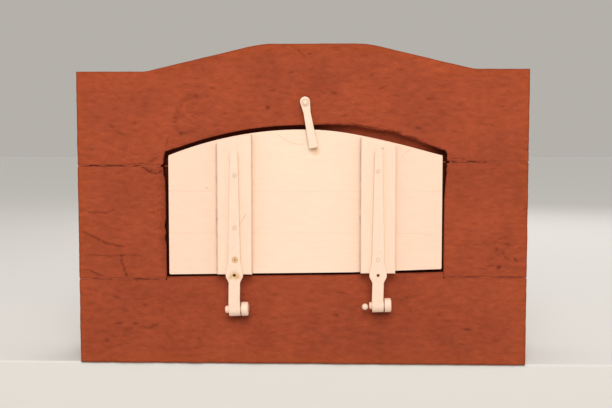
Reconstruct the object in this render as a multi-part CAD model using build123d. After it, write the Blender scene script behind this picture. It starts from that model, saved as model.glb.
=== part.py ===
from build123d import *
import os
from math import asin, atan2, cos, degrees, radians, sin, sqrt

# A low window opening in a sandstone surround, shut by a boarded wooden flap.
# The flap turns down and outwards on two strap hinges at its foot, and a turn
# latch on the lintel holds its head.
# Millimetres. +X is right as seen from outside, -Y is outwards, +Z is up.
# The origin is the middle of the underside of the sill, halfway through the stone.
# "Out" is the distance in front of the stone's face. A side is -1 on the left, 1 on the right.

# Surround. Its crown is level in the middle and slopes down to a knee on each side.
surround_width = 1120.0
surround_depth = 240.0
crown_height = 798.0
left_shoulder_height = 731.0
right_shoulder_height = 735.3
crown_middle = 32.5
crown_level_width = 259.0
crown_left_slope = 290.0
crown_right_slope = 262.0
crown_bend_radius = 270.0
knee_radius = 90.0

# Opening in the surround. The sill climbs to the right, and more steeply beyond a break.
opening_width = 691.0
opening_centre = 8.0
springing_height = 530.2
opening_rise = 67.8
sill_left_height = 219.5
sill_break_height = 226.6
sill_right_height = 233.8
sill_break = 117.0
rebate_width = 26.0
stop_rise = 24.0
arris_wear = 1.2

# Joints between the stones
left_bed_drop = 9.7
right_bed_drop = 16.7
left_lintel_leg = 31.2
right_lintel_leg = 20.7
mortar_thickness = 5.0
mortar_recess = 2.0

# Boards of the flap, and the gaps round them
left_side_gap = 7.7
right_side_gap = 5.7
left_foot_gap = 6.3
right_foot_gap = 8.4
flap_corner_gap = 7.2
flap_crown_gap = 11.1
flap_crown_offset = -5.0
flap_haunch_falls = (0.082, 0.324, 0.64)
flap_end_slope = 0.25
board_thickness = 26.0
board_proud = 5.0
board_seat_gap = 0.3
lower_board_width = 98.8
middle_board_width = 104.5
board_arris_chamfer = 4.0
board_joint_chamfer = 0.5
board_corner_radius = 3.0

# Battens across the boards
batten_width = 85.0
batten_thickness = 26.0
left_batten_drop = -0.9
right_batten_drop = 2.3
batten_head_margin = 4.5
batten_edge_radius = 3.0

# Strap hinges. Their common axis climbs a little to the right.
hinge_spacing = 353.0
hinge_centre = 12.9
hinge_drop = 83.4
hinge_climb = 11.4
strap_thickness = 8.0
strap_foot_width = 30.5
strap_top_width = 19.5
strap_reach = 308.2
strap_edge_radius = 1.5
ear_width = 42.5
ear_hole = 7.2
left_ear_drop = 0.3
right_ear_drop = 3.2
ear_to_taper = 40.0
ear_to_neck = 23.0
neck_width = 27.5
knuckle_wall = 7.9
knuckle_stub = 20.0
knuckle_seam = 1.0
knuckle_stone_gap = 5.0

# Pins that the hinges turn on, and the spikes that hold them in the sill
hinge_pin_diameter = 18.0
running_clearance = 0.1
left_pin_overhang = 10.7
right_pin_overhang = 7.3
pin_free_end_radius = 4.0
pin_collar_end_chamfer = 1.2
collar_diameter = 34.6
collar_width = 16.5
collar_gap = 3.0
collar_outer_radius = 4.0
collar_inner_radius = 1.0
spike_height = 12.0
spike_tip_width = 8.0
spike_tip_height = 5.0
spike_bite = 75.0

# Ball-headed keeper nail beside the right hinge
keeper_ball = 15.6
keeper_reach = 31.0
keeper_drop = 2.8
keeper_shank = 6.0
keeper_bite = 45.0

# Turn latch on the lintel
latch_offset = 2.4
latch_rise = 53.2
latch_lean = 10.5
latch_length = 111.8
latch_head = 24.4
latch_head_offset = 3.6
latch_waist = 17.5
latch_waist_drop = 24.0
latch_tip_width = 21.5
latch_tip_radius = 4.0
latch_thickness = 6.0
latch_edge_radius = 1.2
latch_board_gap = 5.0
latch_side_gap = 0.3
latch_pin_diameter = 8.0
latch_pin_bite = 50.0
rivet_head = 11.5
rivet_rise = 3.5
rivet_fullness = 0.72
washer_diameter = 22.0
nail_hole_clearance = 0.2


def at_front(out):
    """The plane that stands out from the face of the stone, looking outwards."""
    return Plane.XZ.offset(surround_depth / 2 + out)


def slab(face, out_low, out_high):
    """A front view, drawn in x and z, given its thickness."""
    return extrude(at_front(out_low) * face, out_high - out_low)


def arched_face(left, right, left_foot, right_foot, springing, crown):
    """A front view with upright sides and a segmental head."""
    head = ThreePointArc((left, springing), ((left + right) / 2, crown), (right, springing))
    sides = Polyline((right, springing), (right, right_foot), (left, left_foot), (left, springing))
    return make_face(head + sides)


def flap_face(lowered, left_foot, right_foot):
    """The front view of the flap or a part of it. Its head is an arc on the left and flatter on the right."""
    rise = flap_crown - flap_springing
    reach = flap_crown_x - boards_left
    step = (boards_right - flap_crown_x) / (len(flap_haunch_falls) + 1)
    left_end = (boards_left, flap_springing - lowered)
    crown = (flap_crown_x, flap_crown - lowered)
    right_end = (boards_right, flap_springing - lowered)
    shoulder = (crown[0] - reach / 2, crown[1] - arc_drop(arc_radius(2 * reach, rise), reach / 2))
    haunch = [(crown[0] + step * i, crown[1] - rise * fall) for i, fall in enumerate(flap_haunch_falls, 1)]
    head = ThreePointArc(left_end, shoulder, crown)
    head += Spline(crown, *haunch, right_end, tangents=[(1, 0), (1, -flap_end_slope)])
    sides = Polyline(right_end, (boards_right, right_foot), (boards_left, left_foot), left_end)
    return make_face(head + sides)


def arc_radius(chord, rise):
    return (chord**2 / 4 + rise**2) / (2 * rise)


def arc_drop(radius, reach):
    """How far an arc has fallen below its crown, at that distance from its middle."""
    return radius - sqrt(radius**2 - reach**2)


def by_side(side, left_value, right_value):
    return left_value if side < 0 else right_value


# Opening and passage
front_y = -surround_depth / 2
half_width = surround_width / 2
rebate_depth = board_thickness - board_proud + board_seat_gap
opening_left = opening_centre - opening_width / 2
opening_right = opening_centre + opening_width / 2
opening_crown = springing_height + opening_rise
break_x = opening_centre + sill_break
passage_left = opening_left + rebate_width
passage_right = opening_right - rebate_width
passage_radius = arc_radius(opening_width, opening_rise) - rebate_width
passage_crown = opening_crown - rebate_width
passage_springing = passage_crown - arc_drop(passage_radius, (passage_right - passage_left) / 2)

# Boards
boards_left = opening_left + left_side_gap
boards_right = opening_right - right_side_gap
flap_springing = springing_height - flap_corner_gap
flap_crown = opening_crown - flap_crown_gap
flap_crown_x = opening_centre + flap_crown_offset
board_back = board_proud - board_thickness
batten_out = board_proud + batten_thickness
strap_out = batten_out + strap_thickness

# Hinges and latch
knuckle_bore = hinge_pin_diameter + 2 * running_clearance
knuckle_diameter = knuckle_bore + 2 * knuckle_wall
hinge_out = knuckle_diameter / 2 + knuckle_stone_gap
hinge_y = front_y - hinge_out
hinge_slope = degrees(atan2(hinge_climb, hinge_spacing))
latch_x = opening_centre + latch_offset
latch_height = opening_crown + latch_rise
latch_out = board_proud + latch_board_gap


def sill_at(x):
    """The height of the sill's front edge, on its first or its second slope."""
    if x < break_x:
        share = (x - opening_left) / (break_x - opening_left)
        return sill_left_height + share * (sill_break_height - sill_left_height)
    share = (x - break_x) / (opening_right - break_x)
    return sill_break_height + share * (sill_right_height - sill_break_height)


def foot_at(x):
    """The height of the boards' lower edge, whose gap widens beyond the break."""
    share = max(0.0, (x - break_x) / (boards_right - break_x))
    return sill_at(x) + left_foot_gap + share * (right_foot_gap - left_foot_gap)


def hinge_x(side):
    return hinge_centre + side * hinge_spacing / 2


def batten_foot(side):
    return foot_at(hinge_x(side)) - by_side(side, left_batten_drop, right_batten_drop)


def bed_height(side):
    """The seat on the sill stone below a jamb's mortar."""
    return sill_at(by_side(side, opening_left, opening_right)) - by_side(side, left_bed_drop, right_bed_drop)


def leg_foot(side):
    """The underside of the lintel's leg, above a jamb's head joint."""
    return springing_height - by_side(side, left_lintel_leg, right_lintel_leg)


def hinge_place(side):
    """The middle of a knuckle. Local x runs along the pin."""
    height = foot_at(hinge_centre) - hinge_drop + side * hinge_climb / 2
    return Pos(hinge_x(side), hinge_y, height) * Rot(0, -hinge_slope, 0)


def surround_face():
    """The front view of the surround without its opening."""
    level_left = crown_middle - crown_level_width / 2
    level_right = crown_middle + crown_level_width / 2
    corners = [
        (-half_width, 0),
        (-half_width, left_shoulder_height),
        (level_left - crown_left_slope, left_shoulder_height),
        (level_left, crown_height),
        (level_right, crown_height),
        (level_right + crown_right_slope, right_shoulder_height),
        (half_width, right_shoulder_height),
        (half_width, 0),
    ]
    face = make_face(Polyline(*corners, close=True))
    face = fillet(face.vertices().sort_by(Axis.Y)[-2:], crown_bend_radius)
    knees = face.vertices().sort_by(Axis.X)[2:-2].sort_by(Axis.Y)[:2]
    return fillet(knees, knee_radius)


def side_box(side, low, high):
    """All the space to one side of the opening's middle, between two heights."""
    width = 2 * surround_width
    box = Box(width, 2 * surround_depth, high - low, align=(Align.CENTER, Align.CENTER, Align.MIN))
    return Pos(opening_centre + side * width / 2, 0, low) * box


def make_lintel():
    """The head stone, arched above and below, with legs that reach down to the head joints."""
    stone = slab(surround_face(), -surround_depth, 0)
    for side in (-1, 1):
        stone -= side_box(side, -1, leg_foot(side))
    recess = arched_face(opening_left, opening_right, 0, 0, springing_height, opening_crown)
    passage = arched_face(passage_left, passage_right, 0, 0, passage_springing, passage_crown)
    stone -= slab(recess, -rebate_depth, 1)
    stone -= slab(passage, -surround_depth - 1, -rebate_depth)
    front = stone.faces().sort_by(Axis.Y)[0]
    edges = [
        edge
        for edge in front.edges()
        if abs((edge @ 0.5).X - opening_centre) < opening_width / 2 + 1 and (edge @ 0.5).Z < opening_crown + 1
    ]
    arris = [edge for edge in edges if abs(edge.tangent_at(0.5).Z) > 0.9 or edge.geom_type == GeomType.CIRCLE]
    stone = chamfer(arris, arris_wear)
    hole = at_front(-latch_pin_bite) * Pos(latch_x, latch_height) * Circle(
        latch_pin_diameter / 2 + nail_hole_clearance
    )
    return stone - extrude(hole, surround_depth)


def jamb_plan(side, inset, wear):
    """The plan of a jamb, seen from above, with its rebate and its worn arris."""
    opening_edge = by_side(side, opening_left, opening_right) + side * inset
    passage_edge = by_side(side, passage_left, passage_right) + side * inset
    outer = side * (half_width - inset)
    front = front_y + inset
    step = front_y + rebate_depth + inset
    back = -front_y - inset
    corners = [
        (outer, front),
        (opening_edge + side * wear, front),
        (opening_edge, front + wear),
        (opening_edge, step),
        (passage_edge, step),
        (passage_edge, back),
        (outer, back),
    ]
    return make_face(Polyline(*corners, close=True))


def make_jamb(side):
    low = bed_height(side) + mortar_thickness
    high = leg_foot(side) - mortar_thickness
    return extrude(Plane.XY.offset(low) * jamb_plan(side, 0, arris_wear), high - low)


def make_mortar(side, low):
    return extrude(Plane.XY.offset(low) * jamb_plan(side, mortar_recess, arris_wear), mortar_thickness)


def sill_step(left, right, rise):
    """The front view of a part of the sill that stands up between the jambs."""
    low = min(bed_height(-1), bed_height(1))
    tops = [(x, sill_at(x) + rise) for x in (right, break_x, left)]
    corners = [(left, low), (right, low), *tops]
    return make_face(Polyline(*corners, close=True))


def make_sill(spikes):
    """The sill stone: a bed for each jamb, a seat under the flap and a stop behind it."""
    stone = slab(sill_step(opening_left, opening_right, 0), -rebate_depth, 0)
    seat_edges = stone.edges().filter_by(lambda edge: (edge @ 0.5).Y < front_y + 1).sort_by(Axis.Z)[-2:]
    stone = chamfer(seat_edges, arris_wear)
    stone += slab(sill_step(passage_left, passage_right, stop_rise), -surround_depth, -rebate_depth)
    stone += side_box(-1, 0, bed_height(-1)) & Box(surround_width, surround_depth, 2 * crown_height)
    stone += side_box(1, 0, bed_height(1)) & Box(surround_width, surround_depth, 2 * crown_height)
    for spike in spikes:
        stone -= spike
    hole = Rot(90, 0, 0) * Cylinder(keeper_shank / 2 + nail_hole_clearance, 2 * (hinge_out + keeper_bite))
    return stone - hinge_place(1) * Pos(-keeper_reach, 0, -keeper_drop) * hole


def joint_chamfer(board, heights):
    """Breaks the front arrises of a board where it meets the next one."""
    edges = [
        edge
        for edge in board.faces().sort_by(Axis.Y)[0].edges()
        if any(abs((edge @ 0.5).Z - height) < 0.1 for height in heights)
    ]
    return chamfer(edges, board_joint_chamfer)


lower_joint = foot_at(opening_centre) + lower_board_width
upper_joint = lower_joint + middle_board_width


def make_upper_board():
    """The head board, with the arch of the flap and a chamfer along its outer arris."""
    board = slab(flap_face(0, upper_joint, upper_joint), board_back, board_proud)
    front = board.faces().sort_by(Axis.Y)[0].edges()
    arris = [edge for edge in front if edge.geom_type != GeomType.LINE]
    return joint_chamfer(chamfer(arris, board_arris_chamfer), [upper_joint])


def make_middle_board():
    middle = Pos((boards_left + boards_right) / 2, (lower_joint + upper_joint) / 2)
    outline = middle * Rectangle(boards_right - boards_left, middle_board_width)
    return joint_chamfer(slab(outline, board_back, board_proud), [lower_joint, upper_joint])


def make_lower_board():
    """The foot board. Its lower edge climbs to the right with the sill."""
    feet = [(x, foot_at(x)) for x in (boards_left, break_x, boards_right)]
    corners = [(boards_left, lower_joint), *feet, (boards_right, lower_joint)]
    board = slab(make_face(Polyline(*corners, close=True)), board_back, board_proud)
    rounded = [
        edge
        for edge in board.edges().filter_by(Axis.Y)
        if abs((edge @ 0.5).X - break_x) > 1 and (edge @ 0.5).Z < lower_joint - 1
    ]
    return joint_chamfer(fillet(rounded, board_corner_radius), [lower_joint])


def make_batten(side):
    """An upright batten whose head follows the arch of the boards."""
    foot = batten_foot(side)
    head = flap_face(batten_head_margin, foot, foot)
    strip = Pos(hinge_x(side), foot) * Rectangle(batten_width, 2 * flap_crown)
    batten = slab(strip & head, board_proud, batten_out)
    return fillet(batten.faces().sort_by(Axis.Y)[0].edges(), batten_edge_radius)


def strap_edge(side, edge, ear_height, top_height):
    """One long edge of a strap, from its neck over the ear to the start of its rounded end."""
    middle = hinge_x(side)
    neck = (middle + edge * neck_width / 2, ear_height - ear_to_neck)
    ear = (middle + edge * ear_width / 2, ear_height)
    taper = (middle + edge * strap_foot_width / 2, ear_height + ear_to_taper)
    top = (middle + edge * strap_top_width / 2, top_height)
    lower = Spline(neck, ear, tangents=[(0, 1), (0, 1)])
    upper = Spline(ear, taper, tangents=[(0, 1), (0, 1)])
    return lower + upper + Line(taper, top)


def make_knuckle(side):
    """The strap's foot rolled round the pin, with the seam where the roll comes back to the strap."""
    outer = knuckle_diameter / 2
    plate = Pos(strap_thickness / 2 - outer, knuckle_stub / 2) * Rectangle(strap_thickness, knuckle_stub)
    roll = Circle(outer) + plate - Circle(knuckle_bore / 2)
    seam_angle = degrees(asin((outer - strap_thickness) / outer)) - degrees(knuckle_seam / outer)
    seam = Rot(0, 0, seam_angle) * Pos(0, outer) * Rectangle(knuckle_seam, 2 * (knuckle_wall + 1))
    return hinge_place(side) * extrude(Plane.YZ * (roll - (seam - plate)), neck_width / 2, both=True)


def make_strap(side):
    """A forged strap, spread into an ear at the flap's foot and rolled round the pin below it."""
    middle = hinge_x(side)
    ear_height = batten_foot(side) - by_side(side, left_ear_drop, right_ear_drop)
    strap_top = ear_height + strap_reach
    tip_height = strap_top - strap_top_width / 2
    tip_left = (middle - strap_top_width / 2, tip_height)
    tip_right = (middle + strap_top_width / 2, tip_height)
    tip = ThreePointArc(tip_left, (middle, strap_top), tip_right)
    neck_height = ear_height - ear_to_neck
    foot = Line((middle - neck_width / 2, neck_height), (middle + neck_width / 2, neck_height))
    edges = strap_edge(side, -1, ear_height, tip_height) + strap_edge(side, 1, ear_height, tip_height)
    strap = slab(make_face(edges + tip + foot), batten_out, strap_out)
    front = strap.faces().sort_by(Axis.Y)[0].edges()
    strap = fillet([edge for edge in front if (edge @ 0.5).Z > neck_height + 1], strap_edge_radius)

    centre_y = (strap_thickness - knuckle_diameter) / 2
    neck_section = Plane.XY.offset(neck_height) * Pos(middle, hinge_y + centre_y) * Rectangle(
        neck_width, strap_thickness
    )
    stub_section = hinge_place(side) * Pos(0, centre_y, knuckle_stub) * Rectangle(neck_width, strap_thickness)
    strap += loft([neck_section, stub_section]) + make_knuckle(side)

    hole = at_front(batten_out - 1) * Pos(middle, ear_height) * Circle(ear_hole / 2)
    return strap - extrude(hole, strap_thickness + 2)


def make_pin(side):
    """The round pin, through the collar and the knuckle, with its free end standing out on the left."""
    left = -neck_width / 2 - by_side(side, left_pin_overhang, right_pin_overhang)
    right = neck_width / 2 + collar_gap + collar_width
    bar = Pos((left + right) / 2, 0, 0) * Rot(0, 90, 0) * Cylinder(hinge_pin_diameter / 2, right - left)
    bar = fillet(bar.edges().filter_by(GeomType.CIRCLE).sort_by(Axis.X)[:1], pin_free_end_radius)
    bar = chamfer(bar.edges().filter_by(GeomType.CIRCLE).sort_by(Axis.X)[-1:], pin_collar_end_chamfer)
    return hinge_place(side) * bar


def make_spike(side):
    """A bar rolled into a collar round the pin, and drawn out to a spike that is let into the sill."""
    middle = neck_width / 2 + collar_gap + collar_width / 2
    collar = Rot(0, 90, 0) * Cylinder(collar_diameter / 2, collar_width)
    rims = collar.edges().filter_by(GeomType.CIRCLE).sort_by(Axis.X)
    collar = fillet(rims[-1:], collar_outer_radius)
    collar = fillet(collar.edges().filter_by(GeomType.CIRCLE).sort_by(Axis.X)[:1], collar_inner_radius)
    bore = Rot(0, 90, 0) * Cylinder(knuckle_bore / 2, 2 * collar_width)
    root = knuckle_bore / 2
    bar = Pos(0, (root + hinge_out) / 2, 0) * Box(collar_width, hinge_out - root, spike_height)
    face_section = Plane.XZ.offset(-hinge_out) * Rectangle(collar_width, spike_height)
    tip_section = Plane.XZ.offset(-hinge_out - spike_bite) * Rectangle(spike_tip_width, spike_tip_height)
    spike = collar + bar + loft([face_section, tip_section]) - bore
    return hinge_place(side) * Pos(middle, 0, 0) * spike


def make_keeper_nail():
    """A nail with a ball head, driven into the sill beside the free end of the right pin."""
    length = hinge_out + keeper_bite
    shank = Pos(0, length / 2, 0) * Rot(90, 0, 0) * Cylinder(keeper_shank / 2, length)
    return hinge_place(1) * Pos(-keeper_reach, 0, -keeper_drop) * (Sphere(keeper_ball / 2) + shank)


def make_latch_bar():
    """A forged bar with a round head on the rivet, a waist below it and a broader tip over the boards."""
    head = Pos(0, latch_head_offset) * Circle(latch_head / 2)
    lean = radians(latch_lean)
    corners = []
    for edge in (-1, 1):
        tip = (edge * latch_tip_width / 2, -latch_length)
        waist = (edge * latch_waist / 2, -latch_waist_drop)
        shoulder = (edge * latch_head * cos(lean) / 2, latch_head_offset - latch_head * sin(lean) / 2)
        corners += [tip, waist, shoulder][::edge]
    bar = make_face(Polyline(*corners, close=True))
    bar = fillet(bar.vertices().sort_by(Axis.Y)[:2], latch_tip_radius)
    plane = at_front(latch_out) * Pos(latch_x, latch_height) * Rot(0, 0, latch_lean)
    latch = extrude(plane * (bar + head), latch_thickness)
    latch = fillet(latch.faces().sort_by(Axis.Y)[0].edges(), latch_edge_radius)
    hole = plane * Circle(latch_pin_diameter / 2 + running_clearance)
    return latch - extrude(hole, latch_thickness)


def make_latch_pivot_pin():
    """The rivet: a shank let into the lintel and a low domed head in front of the latch."""
    shank_length = latch_pin_bite + latch_out + latch_thickness + latch_side_gap
    shank = extrude(Circle(latch_pin_diameter / 2), shank_length)
    half = rivet_head / 2
    shoulder = (half * rivet_fullness, rivet_rise * rivet_fullness)
    dome = make_face(
        Polyline((half, 0), (0, 0), (0, rivet_rise)) + ThreePointArc((0, rivet_rise), shoulder, (half, 0))
    )
    head = Pos(0, 0, shank_length) * revolve(Plane.XZ * dome, Axis.Z)
    return at_front(-latch_pin_bite) * Pos(latch_x, latch_height) * (shank + head)


def make_latch_washer():
    """The stand-off that holds the latch clear of the boards."""
    ring = Circle(washer_diameter / 2) - Circle(latch_pin_diameter / 2 + running_clearance)
    return extrude(at_front(0) * Pos(latch_x, latch_height) * ring, latch_out - latch_side_gap)


left_spike = make_spike(-1)
right_spike = make_spike(1)

pieces = {
    "lintel_stone": make_lintel(),
    "left_jamb_stone": make_jamb(-1),
    "right_jamb_stone": make_jamb(1),
    "sill_stone": make_sill([left_spike, right_spike]),
    "left_head_mortar": make_mortar(-1, leg_foot(-1) - mortar_thickness),
    "right_head_mortar": make_mortar(1, leg_foot(1) - mortar_thickness),
    "left_bed_mortar": make_mortar(-1, bed_height(-1)),
    "right_bed_mortar": make_mortar(1, bed_height(1)),
    "left_pintle_pin": make_pin(-1),
    "right_pintle_pin": make_pin(1),
    "left_pintle_spike": left_spike,
    "right_pintle_spike": right_spike,
    "keeper_nail": make_keeper_nail(),
    "latch_pivot_pin": make_latch_pivot_pin(),
    "latch_washer": make_latch_washer(),
    "upper_board": make_upper_board(),
    "middle_board": make_middle_board(),
    "lower_board": make_lower_board(),
    "left_batten": make_batten(-1),
    "right_batten": make_batten(1),
    "left_strap_hinge": make_strap(-1),
    "right_strap_hinge": make_strap(1),
    "latch_bar": make_latch_bar(),
}

os.makedirs("parts", exist_ok=True)
for name, solid in pieces.items():
    export_step(solid, f"parts/{name}.step")
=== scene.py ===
import math

import bmesh
import bpy
import numpy as np
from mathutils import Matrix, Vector, noise


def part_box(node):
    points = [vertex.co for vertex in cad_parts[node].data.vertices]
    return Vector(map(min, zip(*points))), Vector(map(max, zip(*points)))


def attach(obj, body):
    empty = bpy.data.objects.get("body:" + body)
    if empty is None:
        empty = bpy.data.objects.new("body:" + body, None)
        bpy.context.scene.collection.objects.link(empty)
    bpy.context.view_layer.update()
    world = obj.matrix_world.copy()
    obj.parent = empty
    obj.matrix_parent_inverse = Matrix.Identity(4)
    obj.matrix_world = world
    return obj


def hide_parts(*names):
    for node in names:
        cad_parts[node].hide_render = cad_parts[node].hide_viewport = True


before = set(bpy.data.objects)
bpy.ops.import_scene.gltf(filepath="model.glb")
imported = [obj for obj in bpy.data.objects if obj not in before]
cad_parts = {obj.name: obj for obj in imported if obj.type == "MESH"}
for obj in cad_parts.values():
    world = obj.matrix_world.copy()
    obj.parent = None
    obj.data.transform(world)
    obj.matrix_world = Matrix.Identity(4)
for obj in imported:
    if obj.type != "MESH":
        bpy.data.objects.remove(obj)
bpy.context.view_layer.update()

# The sill stone is one long block of sandstone, dressed by hand and bedded first.
# Its ends carry the jambs, its seat slopes under the flap and its stop stands up behind it.
# The arrises have worn round, and a matt oxide-red paint covers nicks and cracks alike.
stone_front, half_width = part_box("sill_stone")[0].y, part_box("sill_stone")[1].x
rebate_width, rebate_depth = 0.026, 0.0213
rebate_floor, rebate_margin = rebate_depth + 0.0003, 0.004
weld_distance, same_plane = 1e-6, 1e-5
opening_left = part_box("left_jamb_stone")[1].x - rebate_width
opening_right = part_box("right_jamb_stone")[0].x + rebate_width
opening_middle, opening_half_width = (opening_left + opening_right) / 2, (opening_right - opening_left) / 2
sill_line = ((opening_left, 0.2195), (0.125, 0.2266), (opening_right, 0.2338))
arch_crown, arch_radius = 0.598, 0.914211
arch_centre = arch_crown - arch_radius
mortar_nodes = [f"{side}_{kind}_mortar" for side in ("left", "right") for kind in ("bed", "head")]
joint_levels = [0.0] + [corner.z for node in mortar_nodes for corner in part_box(node)]
lowest_shoulder = 0.7
top_line = sorted({
    (round(corner.co.x, 6), round(corner.co.z, 6))
    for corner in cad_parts["lintel_stone"].data.vertices
    if corner.co.y < stone_front + same_plane and corner.co.z > lowest_shoulder
})

# A crack is the line that it follows, its width and its depth.
# A nick is its place, its two reaches, its depth and how far it is turned.
sill_cracks = [
    (
        [(-0.547, 0.2338), (-0.5333, 0.2346), (-0.5167, 0.225), (-0.5016, 0.2187), (-0.4863, 0.2191)],
        0.0016, 0.0022,
    ),
]
sill_nicks = [
    (-0.463, 0.0984, 0.008, 0.004, 0.0030, 10),
    (-0.4188, 0.0987, 0.008, 0.0035, 0.0028, 12),
    (-0.3747, 0.0911, 0.012, 0.005, 0.0030, 18),
    (-0.395, 0.088, 0.009, 0.004, 0.0022, -10),
    (-0.44, 0.083, 0.014, 0.006, 0.0020, 25),
    (-0.4939, 0.0538, 0.008, 0.004, 0.0026, 20),
    (-0.4476, 0.05, 0.007, 0.004, 0.0020, -20),
    (-0.476, 0.066, 0.010, 0.004, 0.0018, 0),
    (-0.418, 0.062, 0.012, 0.004, 0.0016, 15),
    (-0.3941, 0.1452, 0.008, 0.0035, 0.0022, -10),
    (-0.4681, 0.1649, 0.009, 0.0035, 0.0022, -15),
    (-0.445, 0.132, 0.012, 0.004, 0.0016, -20),
    (-0.2388, 0.0917, 0.009, 0.0026, 0.0024, 0),
    (-0.259, 0.0595, 0.006, 0.0035, 0.0018, 10),
    (-0.28, 0.063, 0.007, 0.003, 0.0016, 0),
    (0.416, 0.0865, 0.011, 0.0034, 0.0034, -4),
    (0.416, 0.0800, 0.009, 0.0030, -0.0010, -4),
    (0.4472, 0.0908, 0.007, 0.0026, 0.0022, 0),
    (0.2638, 0.1668, 0.011, 0.0026, 0.0022, 18),
    (0.087, 0.1214, 0.007, 0.0040, 0.0028, -15),
    (0.0983, 0.1792, 0.018, 0.0026, 0.0022, -6),
    (0.3636, 0.1084, 0.012, 0.0030, 0.0016, 0),
    (0.4907, 0.0613, 0.010, 0.0040, 0.0018, 20),
    (0.1947, 0.0517, 0.012, 0.0030, 0.0016, -10),
]
broad_dent = 0.0065  # a nick higher than this is a dent, and its paint stays clean
knuckle_shadows = ((-0.156, 0.1205), (0.196, 0.1315))


def made_from(mesh, name):
    """A new object in the scene that takes its shape from a bmesh, which ends here."""
    made = bpy.data.objects.new(name, bpy.data.meshes.new(name))
    mesh.to_mesh(made.data)
    mesh.free()
    bpy.context.scene.collection.objects.link(made)
    return made


def sliced_copy(node, name, cell, front_cell):
    """A copy of a node's mesh, cut into small cells that are finest on its front."""
    mesh = bmesh.new()
    mesh.from_mesh(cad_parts[node].data)
    bmesh.ops.remove_doubles(mesh, verts=mesh.verts, dist=weld_distance)
    bmesh.ops.dissolve_limit(mesh, angle_limit=math.radians(0.5), verts=mesh.verts, edges=mesh.edges)
    low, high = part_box(node)

    def cut(parts, axis, size):
        count = round((high[axis] - low[axis]) / size)
        for i in range(1, count):
            place, direction = Vector(), Vector()
            place[axis] = low[axis] + (high[axis] - low[axis]) * i / count
            direction[axis] = 1
            cut_parts = bmesh.ops.bisect_plane(
                mesh, geom=parts, dist=weld_distance, plane_co=place, plane_no=direction
            )
            parts = cut_parts["geom"]
        return parts

    parts = mesh.verts[:] + mesh.edges[:] + mesh.faces[:]
    for axis in range(3):
        parts = cut(parts, axis, cell)
    faces = [
        face for face in mesh.faces if face.normal.y < -0.99 and face.calc_center_median().y < low.y + 0.001
    ]
    parts = list({part for face in faces for part in (*face.verts, *face.edges)}) + faces
    for axis in (0, 2):
        parts = cut(parts, axis, front_cell)
    return made_from(mesh, name)


def line_distance(across, up, line):
    """How far points on the front are from a line through several places."""
    nearest = np.full(len(across), 1.0)
    for (x0, z0), (x1, z1) in zip(line[:-1], line[1:]):
        length = math.hypot(x1 - x0, z1 - z0)
        share = np.clip(((across - x0) * (x1 - x0) + (up - z0) * (z1 - z0)) / length**2, 0, 1)
        gap = np.hypot(across - x0 - share * (x1 - x0), up - z0 - share * (z1 - z0))
        nearest = np.minimum(nearest, gap)
    return nearest


def roughness_at(points, scale, octaves, seed):
    """Fractal noise at each point, from about -1 to 1."""
    across, deep, up = scale
    places = [Vector((x * across + seed, y * deep, z * up)) for x, y, z in points]
    return np.array([noise.fractal(place, 0.8, 2.1, octaves) for place in places])


def opening_reach(across, up):
    """The distance from the opening's outline into the stone, and the direction that it grows in."""
    side = np.abs(across - opening_middle) - opening_half_width
    below = np.interp(across, *zip(*sill_line)) - up
    radius = np.hypot(across - opening_middle, up - arch_centre)
    choice = np.argmax([side, below, radius - arch_radius], axis=0)
    level = 0 * across
    direction_x = np.choose(
        choice, [np.sign(across - opening_middle), level, (across - opening_middle) / radius]
    )
    direction_z = np.choose(choice, [level, level - 1, (up - arch_centre) / radius])
    return np.choose(choice, [side, below, radius - arch_radius]), direction_x, direction_z


left_edge_wear = (
    (0.22, 0), (0.30, 0.0005), (0.318, 0.003), (0.333, 0.0008), (0.345, 0.0045), (0.362, 0.001),
    (0.43, 0.001), (0.462, 0.002), (0.478, 0.0065), (0.50, 0.0068), (0.53, 0.004),
)
right_edge_wear = ((0.41, 0), (0.446, 0.0022), (0.48, 0.0054), (0.515, 0.006), (0.533, 0.0055))
arch_edge_wear = (
    (-0.34, 0.003), (-0.30, 0), (0.03, 0), (0.08, 0.0038), (0.125, 0.0052), (0.17, 0.0036),
    (0.214, 0.0075), (0.258, 0.005), (0.302, 0.003), (0.345, 0.0045),
)
edge_reach, edge_fade, stop_reach = 0.035, 1.5, 0.02


def broken_back(across, behind, up, inner, toward_x, toward_z):
    """How far the opening's edge has broken back from its first line, less and less into the stone."""
    left = np.interp(up, *zip(*left_edge_wear))
    right = np.interp(up, *zip(*right_edge_wear))
    arch = np.interp(across, *zip(*arch_edge_wear))
    lost = np.select([toward_z > 0.1, toward_x < 0, toward_x > 0], [arch, left, right], 0)
    outwards = np.clip(1 - np.maximum(inner, 0) / edge_reach, 0, 1) ** edge_fade
    inwards = np.clip(1 + inner / stop_reach, 0, 1)
    return lost * outwards * inwards * (behind < rebate_floor)


def outline_reach(across, up):
    """The distance from the surround's outer outline into the stone, and the direction that it grows in."""
    line_x, line_z = np.array(top_line).T
    slope = np.interp(across, (line_x[1:] + line_x[:-1]) / 2, np.diff(line_z) / np.diff(line_x))
    level = 1 / np.sqrt(1 + slope**2)
    side = half_width - np.abs(across)
    top = (np.interp(across, line_x, line_z) - up) * level
    choice = np.argmin([side, up, top], axis=0)
    direction_x = np.choose(choice, [-np.sign(across), 0 * across, slope * level])
    direction_z = np.choose(choice, [0 * across, 1 + 0 * across, -level])
    return np.choose(choice, [side, up, top]), direction_x, direction_z


def round_over(behind, beside, radius):
    """The two shifts, inwards from each face, that give the edge between them a radius."""
    deep, wide = radius - behind, radius - beside
    reach = np.hypot(deep, wide)
    near = (deep > 0) & (wide > 0) & (reach > radius)
    share = np.where(near, 1 - radius / np.maximum(reach, weld_distance), 0)
    return deep * share, wide * share


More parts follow.
